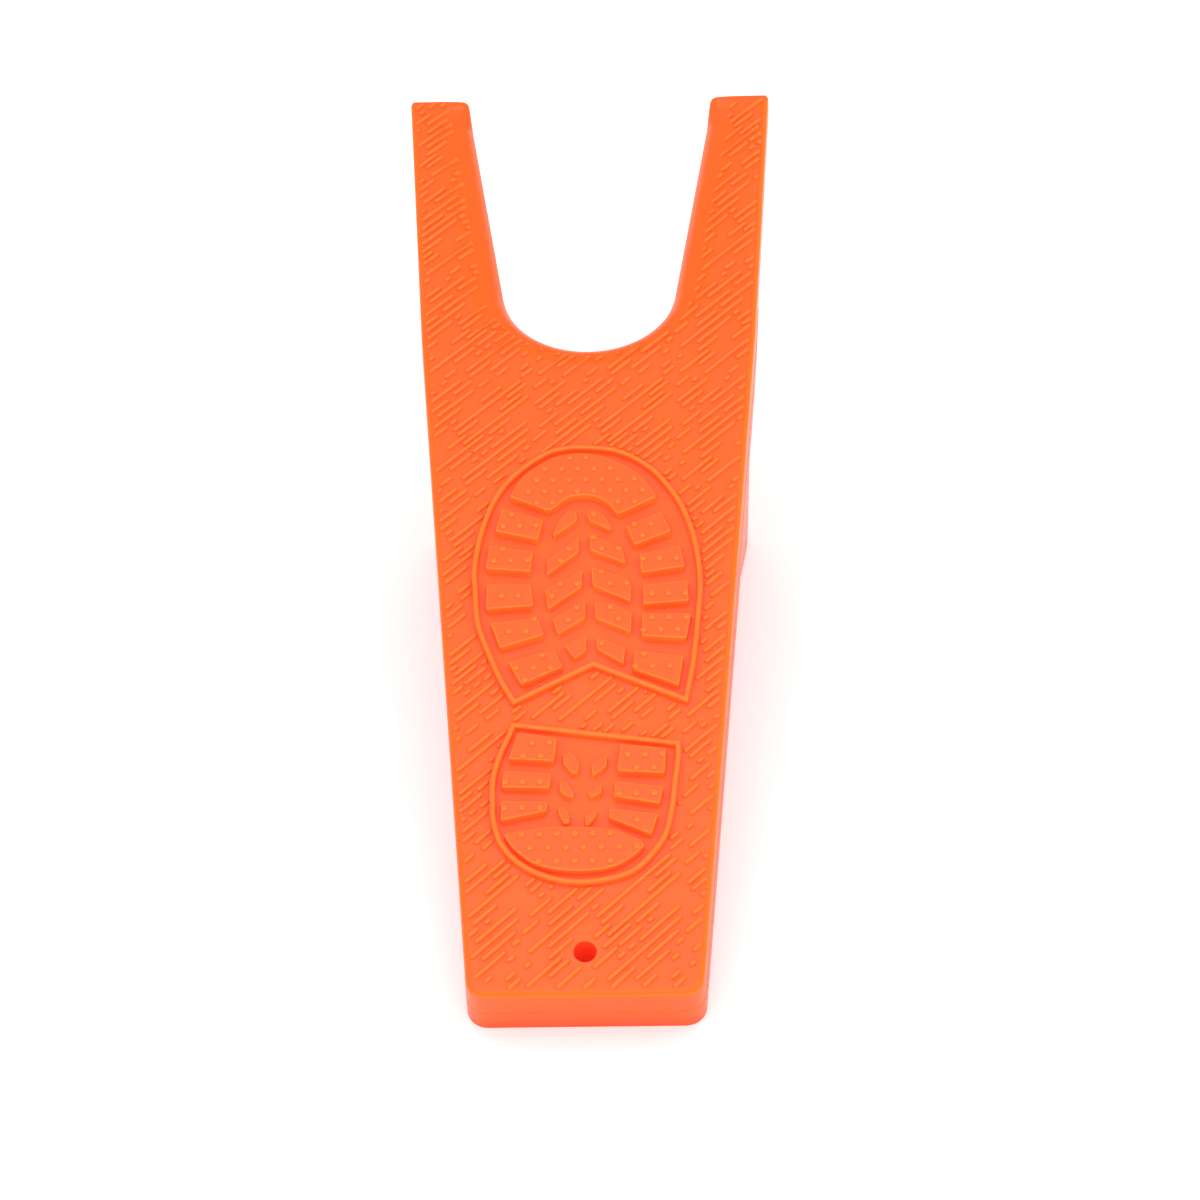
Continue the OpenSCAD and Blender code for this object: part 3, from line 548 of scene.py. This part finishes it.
def make_camera():
    """The camera, where the photograph was taken from."""
    lens = bpy.data.cameras.new("camera")
    lens.lens = LENS_MM
    lens.sensor_width = SENSOR_MM
    lens.clip_start, lens.clip_end = 0.05, 20
    camera = bpy.data.objects.new("camera", lens)
    camera.location = CAMERA_PLACE
    camera.rotation_euler = [math.radians(a) for a in CAMERA_TURN]
    bpy.context.scene.collection.objects.link(camera)
    bpy.context.scene.camera = camera


make_camera()

shell = plastic("shell_plastic", DECK_ORANGE, HOLLOW_SHADE_ORANGE, rough=0.27)
lip = plastic("lip_plastic", DECK_ORANGE, HOLLOW_SHADE_ORANGE, rough=0.3, specular=0.16)
skirts = plastic("skirt_plastic", DECK_ORANGE, SKIRT_HOLLOW_SHADE, rough=0.24,
                 edge=SKIRT_EDGE_HIGHLIGHT, wall=SKIRT_WALL_SHADE, left=0.3)
raised = plastic("raised_plastic", RAISED_ORANGE, RAISED_HOLLOW_SHADE, rough=0.3)
print_plastic = plastic("print_plastic", PRINT_ORANGE, PRINT_HOLLOW_SHADE, rough=0.3,
                        edge=PRINT_EDGE_HIGHLIGHT, wall=PRINT_WALL_SHADE)

# Rims of the print, and the outlines that the dashes keep out of
BALL_LOOP = curve(BALL_ARC) + [Vector(BALL_APEX)]
HEEL_LOOP = curve(HEEL_ARC)
BALL_KEEP = moved(grow(BALL_LOOP, RIM_W / 2 + BARE_RIM), BALL_Y)
HEEL_KEEP = moved(grow(HEEL_LOOP, RIM_W / 2 + BARE_RIM), HEEL_Y)


def dash_ok(x, y):
    """Whether a dash may pass here: clear of edges, notch, hole and prints."""
    return (BARE_EDGE < y < DECK_LEN - BARE_TIP and abs(x) < half_at(y) - BARE_EDGE
            and (abs(x) < BARE_CORNER_X or y > BARE_CORNER_Y)
            and from_notch(x, y) > BARE_NOTCH
            and math.hypot(x, y - HOLE_Y) > HOLE_R + BARE_HOLE
            and not within((x, y), BALL_KEEP) and not within((x, y), HEEL_KEEP))


def on_fork(q):
    """A point of the dashes, moved along where the tile runs a little longer on the fork."""
    return q + Vector((0, max(0.0, q.y - FORK_Y) * FORK_STRETCH))


def tile_dashes(home):
    """Centres of the round ends of each dash of the tile that starts at home."""
    end = DASH_W / 2 / (math.hypot(TILE_W, TILE_L) / LANE_STEPS)
    for lane, start, length in DASHES:
        f = (start + end) / LANE_STEPS
        g = (start + length - end) / LANE_STEPS
        c = lane / (2 * TILE_LANES)
        yield (on_fork(home + Vector((TILE_W * (f + c), TILE_L * (f - c)))),
               on_fork(home + Vector((TILE_W * (g + c), TILE_L * (g - c)))))


def allowed_runs(a, b):
    """Ends of the stretches of a dash that lie where dashes may."""
    n = max(1, round((b - a).length / DASH_SAMPLE))
    run = []
    for q in [a + (b - a) * k / n for k in range(n + 1)] + [None]:
        if q is not None and dash_ok(q.x, q.y):
            run.append(q)
        elif run:
            yield run[0], run[-1]
            run = []


def stadium(a, b, e, along):
    """Clockwise outline of a bar with round ends; along is the unit direction from a to b."""
    side = Vector((-along.y, along.x))
    out = []
    steps = max(1, int((b - a).length / DASH_STRETCH))
    for start, end, way in ((a, b, 1), (b, a, -1)):
        for k in range(steps + 1):
            out.append(start + (end - start) * k / steps + side * e * way)
        for k in range(1, DASH_END_STEPS):
            t = way * math.pi / 2 - math.pi * k / DASH_END_STEPS
            out.append(end + along * e * math.cos(t) + side * e * math.sin(t))
    return out


def dash_region(q):
    """Region of the deck that a dash belongs to."""
    side = "left" if q.x < 0 else "right"
    if q.y < TAIL_REGION:
        return "tail"
    if q.y < SIDE_REGION:
        return side
    if q.y < BEND_Y:
        return "middle"
    return "arm_" + side


def make_dashes():
    """The raised grip dashes, a piece for each region."""
    regions = {n: Relief() for n in ("tail", "left", "right", "middle", "arm_left", "arm_right")}
    along = Vector((TILE_W, TILE_L)).normalized()
    for i in TILE_COLUMNS:
        for j in TILE_ROWS:
            home = Vector((i * TILE_W + TILE_X, j * TILE_L + TILE_Y))
            for dash in tile_dashes(home):
                for a, b in allowed_runs(*dash):
                    regions[dash_region((a + b) / 2)].rings([
                        (stadium(a, b, share * DASH_W / 2, along), h)
                        for share, h in DASH_PROFILE])
    for name, relief in regions.items():
        relief.make("grip_" + name, raised, "grip_dash", "dashes_" + name)


def rim(name, loop, y, node):
    """A rounded ridge along a loop: up its outer side and down its inner one."""
    relief = Relief()
    base = moved(loop, y)
    outer = [(grow(base, share * RIM_W / 2), h) for share, h in RIM_PROFILE]
    inner = [(grow(base, -share * RIM_W / 2), h) for share, h in RIM_PROFILE[-2::-1]]
    relief.rings(outer + inner, cap=False)
    relief.make(name, raised, "tread", node)


def lattice(first):
    """Places of the studs, row by row from the first one toward the tail."""
    for row in range(LATTICE_ROWS):
        for k in range(-LATTICE_REACH, LATTICE_REACH + 1):
            yield (LATTICE_X + (k + (row % 2) * 0.5) * STUD_PITCH,
                   first - row * STUD_PITCH * math.sqrt(3) / 2)


def stud(relief, x, y, h):
    """A low dome on a lug whose top is at the height h."""
    turns = [2 * math.pi * k / STUD_SIDES for k in range(STUD_SIDES)]
    levels = []
    for share, rise in STUD_PROFILE:
        e = share * STUD_D / 2
        ring = [Vector((x + e * math.sin(t), y + e * math.cos(t))) for t in turns]
        levels.append((ring, h + rise))
    relief.rings(levels)


def lug(relief, outline, y, h, first):
    """A raised block with soft edges, and the studs that have room on it."""
    p = clockwise(outline)
    base = moved(p, y)
    shape = LUG_FOOT + [(d, h + z) for d, z in LUG_SHOULDER]
    relief.rings([(rounded(grow(base, d), LUG_CORNER + d), z) for d, z in shape])
    for q in lattice(first):
        margin = TOE_MARGIN if q[1] > TOE_ROWS_Y else STUD_MARGIN
        if within(q, p) and gap_to(q, p) > margin:
            stud(relief, q[0], q[1] + y, h)


def lugs(name, node, outlines, y, h, first):
    """A group of like lugs as one piece."""
    relief = Relief()
    for outline in outlines:
        lug(relief, outline, y, h, first)
    relief.make(name, print_plastic, "tread", node)


def tip_line(y):
    """Points of a tip piece's top across the right arm, from the notch outward."""
    inset = -fall(TIP_R, max(0.0, y - (DECK_LEN - TIP_R)))
    inner, outer = wall_line(y) + inset, half_at(y) - inset
    lip_end = min(wall_line(y) + LIP_W / math.cos(NOTCH_OPEN), outer)
    level = y >= TIP_Y
    xs = [inner + (lip_end - inner) * u for u in steps_between(0.0, 1.0, LIP_COLUMNS)]
    if level:
        xs += [lip_end + (outer - lip_end) * u for u in steps_between(0.0, 1.0, LEVEL_COLUMNS)[1:]]
    line = []
    for x in xs:
        gap = max(0.0, min(EDGE_R, DECK_LEN - y, outer - x if level else EDGE_R))
        w = surface(x, y) + fall(EDGE_R, EDGE_R - gap) + TIP_LIFT
        line.append((x, y, max(w, -ARM_DEPTH)))
    return line


def fork_tip(name, side, node):
    """Level end of an arm and the slope where the rolled lip comes up to it.

    Walls go down from the top to a foot as deep as the arm. side is 1 on the right arm
    and -1 on the left one."""
    relief = Relief()
    slope = steps_between(TIP_Y - TIP_SLOPE, TIP_Y, SLOPE_ROWS)[:-1]
    grid = [tip_line(y) for y in slope + steps_between(TIP_Y, DECK_LEN, TIP_ROWS)]

    def point(x, y, w=-ARM_DEPTH):
        relief.verts.append(to_frame(side * x, y, w))
        return len(relief.verts) - 1

    def face(*corners):
        relief.faces.append(corners if side > 0 else corners[::-1])

    top = [[point(*q) for q in line] for line in grid]
    foot_in = [point(line[0][0] - FOOT_IN, line[0][1]) for line in grid]
    for j in range(len(grid) - 1):
        for i in range(min(len(top[j]), len(top[j + 1])) - 1):
            face(top[j][i], top[j][i + 1], top[j + 1][i + 1], top[j + 1][i])
        face(foot_in[j], top[j][0], top[j + 1][0], foot_in[j + 1])

    # The level part starts after the slope, and alone has an outer side and an underside
    first = len(slope)
    foot_out = [point(line[-1][0] + FOOT_OUT, line[-1][1]) for line in grid[first:]]
    for k in range(len(foot_out) - 1):
        face(top[first + k][-1], foot_out[k], foot_out[k + 1], top[first + k + 1][-1])
    foot_front = [point(x, y) for x, y, w in grid[-1][1:-1]]
    foot_end = [foot_in[-1]] + foot_front + [foot_out[-1]]
    for i in range(len(foot_end) - 1):
        face(top[-1][i], top[-1][i + 1], foot_end[i + 1], foot_end[i])
    face(*foot_in[first:], *foot_front, *foot_out[::-1])
    face(*top[first], foot_out[0], foot_in[first])
    relief.make(name, shell, "shell", node)


def dress_nodes():
    """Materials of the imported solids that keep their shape."""
    for name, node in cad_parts.items():
        if "skirt" in name or "gusset" in name:
            material = skirts
        else:
            material = lip if "lip" in name else shell
        node.data.materials.clear()
        node.data.materials.append(material)
        node.data.shade_smooth()
        node.data.set_sharp_from_angle(angle=NODE_CREASE)


def make_floor():
    """A white floor that keeps the shadow; the camera sees it a little brighter."""
    h = FLOOR_HALF
    floor_mesh = bpy.data.meshes.new("floor")
    floor_mesh.from_pydata([(-h, -h, 0), (h, -h, 0), (h, h, 0), (-h, h, 0)], [], [(0, 1, 2, 3)])
    floor = bpy.data.objects.new("floor", floor_mesh)
    bpy.context.scene.collection.objects.link(floor)
    m = bpy.data.materials.new("floor_white")
    m.use_nodes = True
    tree = m.node_tree
    p = tree.nodes["Principled BSDF"]
    p.inputs["Base Color"].default_value = (*FLOOR_WHITE, 1)
    p.inputs["Roughness"].default_value = 0.9
    p.inputs["Specular IOR Level"].default_value = 0.1
    p.inputs["Emission Color"].default_value = (1, 1, 1, 1)
    path = add(tree, "ShaderNodeLightPath", -600, 0)
    seen = add(tree, "ShaderNodeMath", -350, 0)
    seen.operation = "MULTIPLY"
    seen.inputs[1].default_value = FLOOR_SEEN
    tree.links.new(path.outputs["Is Camera Ray"], seen.inputs[0])
    tree.links.new(seen.outputs[0], p.inputs["Emission Strength"])
    floor_mesh.materials.append(m)


def make_sky():
    """Even light, a white background, and a light box that only glossy rays see.

    The box hangs overhead, so what mirrors low parts of the room stays dark."""
    sky = bpy.data.worlds.new("studio")
    bpy.context.scene.world = sky
    sky.use_nodes = True
    tree = sky.node_tree
    back = tree.nodes["Background"]
    way = add(tree, "ShaderNodeTexCoord", -1200, 0)
    axes = add(tree, "ShaderNodeSeparateXYZ", -1000, 0)
    tree.links.new(way.outputs["Generated"], axes.inputs[0])
    box = add(tree, "ShaderNodeMapRange", -800, 0,
              From_Min=BOX_RIM, From_Max=1.0, To_Min=0.0, To_Max=BOX_LIGHT)
    box.interpolation_type = "SMOOTHSTEP"
    tree.links.new(axes.outputs["Z"], box.inputs["Value"])
    ray = add(tree, "ShaderNodeLightPath", -800, 300)
    mirror = mix(tree, ray.outputs["Is Glossy Ray"], -550, 0)
    mirror.inputs["A"].default_value = SKY_LIGHT
    tree.links.new(box.outputs["Result"], mirror.inputs["B"])
    pick = mix(tree, ray.outputs["Is Camera Ray"], -300, 0)
    tree.links.new(mirror.outputs["Result"], pick.inputs["A"])
    pick.inputs["B"].default_value = SKY_SEEN
    tree.links.new(pick.outputs["Result"], back.inputs["Strength"])
    back.inputs["Color"].default_value = (1, 1, 1, 1)


make_dashes()
rim("ball_print_rim", BALL_LOOP, BALL_Y, "ball_rim")
rim("heel_print_rim", HEEL_LOOP, HEEL_Y, "heel_rim")
lugs("ball_lugs_l", "ball_lugs_left", SIDE_LEFT, BALL_Y, LUG_H, BALL_FIRST)
lugs("ball_lugs_r", "ball_lugs_right", SIDE_RIGHT, BALL_Y, LUG_H, BALL_FIRST)
lugs("ball_lugs_m", "ball_lugs_middle", BALL_MID, BALL_Y, MID_LUG_H, BALL_FIRST)
lugs("heel_lugs_s", "heel_lugs_side", HEEL_SIDES, HEEL_Y, LUG_H, HEEL_FIRST)
lugs("heel_lugs_m", "heel_lugs_middle", HEEL_MID, HEEL_Y, MID_LUG_H, HEEL_FIRST)
lugs("toe_cap", "toe_cap_lug", [curve(TOE_ARC, 4) + TOE_FRONT], BALL_Y, LUG_H, BALL_FIRST)
lugs("heel_cap", "heel_cap_lug", [HEEL_CAP], HEEL_Y, LUG_H, HEEL_FIRST)
fork_tip("fork_tip_r", 1, "tip_wall_right")
fork_tip("fork_tip_l", -1, "tip_wall_left")
dress_nodes()
make_floor()
make_sky()

bpy.context.scene.view_settings.view_transform = "Standard"
